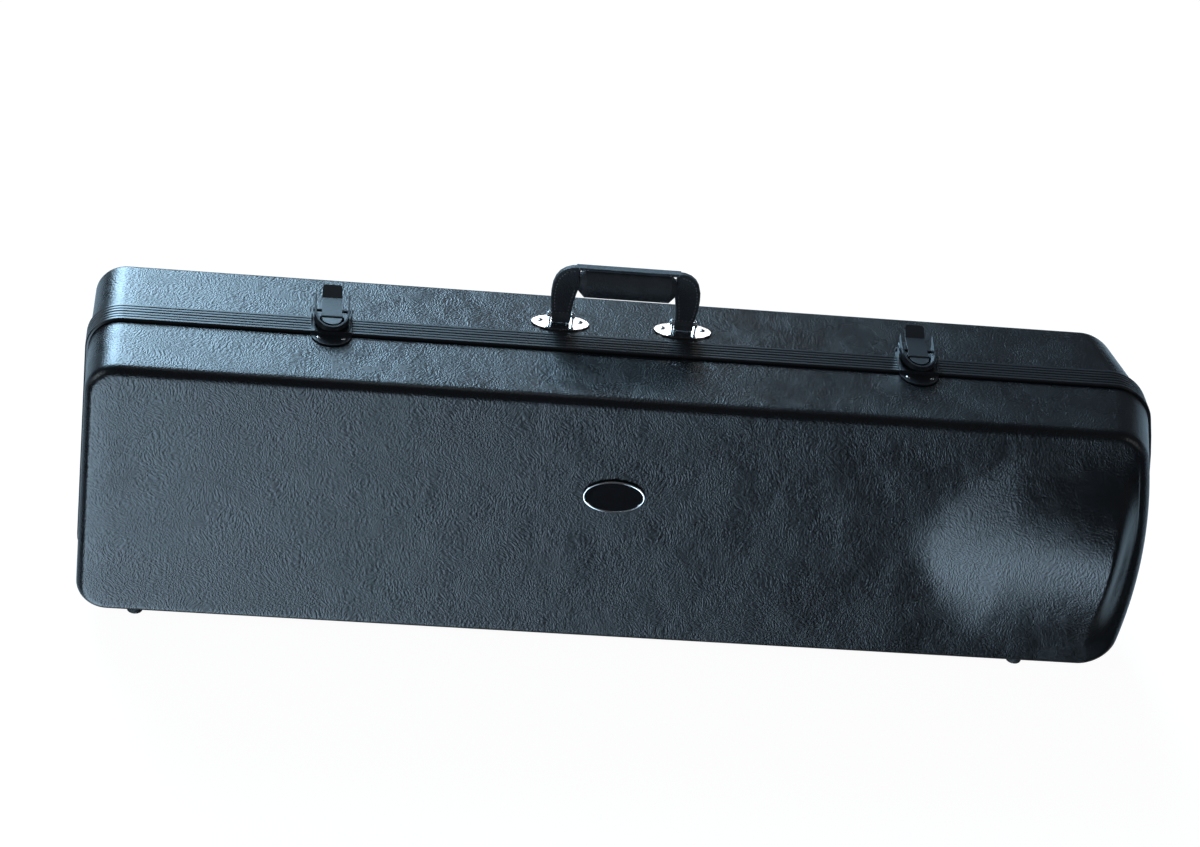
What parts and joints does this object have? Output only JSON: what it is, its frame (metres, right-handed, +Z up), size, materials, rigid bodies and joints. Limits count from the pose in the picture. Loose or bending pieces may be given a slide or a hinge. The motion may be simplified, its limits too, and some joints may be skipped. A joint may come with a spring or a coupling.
{
  "type": "trombone case",
  "caption": "Moulded hard case for a tenor trombone: a long two-part shell with a raised bell cone, ribbed rails, lever latches, a swinging handle and a fitted foam lining.",
  "frame": {"origin": "centre of the bounding box in X and Y, at the bottom of the feet", "axes": "+X along the case towards the bell end, +Y from the front face to the back face, +Z up"},
  "size_m": [0.95, 0.2314, 0.319],
  "materials": {
    "shell_plastic": "black moulded plastic with a leather grain",
    "rail_plastic": "black ribbed plastic, satin",
    "lining_foam": "black plush over foam",
    "black_metal": "black lacquer",
    "hinge_metal": "black",
    "chrome": "polished",
    "handle_leather": "black grained, stitched",
    "foot_rubber": "black",
    "badge_metal": "black field with a plain bright rim"
  },
  "bodies": {
    "case_back": {"back_shell": "shell_plastic", "back_rail": "rail_plastic", "back_lining": "lining_foam", "back_foot_left": "foot_rubber", "back_foot_right": "foot_rubber", "left_latch_strike": "black_metal", "right_latch_strike": "black_metal", "left_handle_plate": "chrome", "right_handle_plate": "chrome", "left_handle_pin": "chrome", "right_handle_pin": "chrome", "hinge_1_back_leaf": "hinge_metal", "hinge_1_pin": "hinge_metal", "hinge_2_back_leaf": "hinge_metal", "hinge_2_pin": "hinge_metal", "hinge_3_back_leaf": "hinge_metal", "hinge_3_pin": "hinge_metal"},
    "lid": {"front_shell": "shell_plastic", "front_rail": "rail_plastic", "front_lining": "lining_foam", "front_foot_left": "foot_rubber", "front_foot_right": "foot_rubber", "badge_plate": "badge_metal", "hinge_1_front_leaf": "hinge_metal", "hinge_2_front_leaf": "hinge_metal", "hinge_3_front_leaf": "hinge_metal", "left_latch_base": "black_metal", "left_latch_pin": "black_metal", "right_latch_base": "black_metal", "right_latch_pin": "black_metal"},
    "handle": {"handle_strap": "handle_leather", "handle_grip": "handle_leather"},
    "left_lever": {"left_latch_lever": "black_metal"},
    "right_lever": {"right_latch_lever": "black_metal"},
    "left_claw": {"left_latch_claw": "black_metal"},
    "right_claw": {"right_latch_claw": "black_metal"}
  },
  "joints": [
    {"name": "lid_hinge", "type": "hinge", "parent": "case_back", "child": "lid", "pos_m": [0, 0, 0.0041], "axis": [1, 0, 0], "range_deg": [0, 100]},
    {"name": "handle_swing", "type": "hinge", "parent": "case_back", "child": "handle", "pos_m": [-0.0145, 0.03309, 0.26849], "axis": [1, 0, 0], "range_deg": [-75, 75]},
    {"name": "left_lever_pivot", "type": "hinge", "parent": "lid", "child": "left_lever", "pos_m": [-0.268, 0.013, 0.269], "axis": [-1, 0, 0], "range_deg": [0, 85]},
    {"name": "left_claw_pivot", "type": "hinge", "parent": "left_lever", "child": "left_claw", "pos_m": [-0.268, -0.0015, 0.2714], "axis": [-1, 0, 0], "range_deg": [-85, 0]},
    {"name": "right_lever_pivot", "type": "hinge", "parent": "lid", "child": "right_lever", "pos_m": [0.244, 0.013, 0.269], "axis": [-1, 0, 0], "range_deg": [0, 85]},
    {"name": "right_claw_pivot", "type": "hinge", "parent": "right_lever", "child": "right_claw", "pos_m": [0.244, -0.0015, 0.2714], "axis": [-1, 0, 0], "range_deg": [-85, 0]}
  ],
  "couplings": [
    {"joint": "left_claw_pivot", "follows": "left_lever_pivot", "ratio": -1},
    {"joint": "right_claw_pivot", "follows": "right_lever_pivot", "ratio": -1}
  ]
}
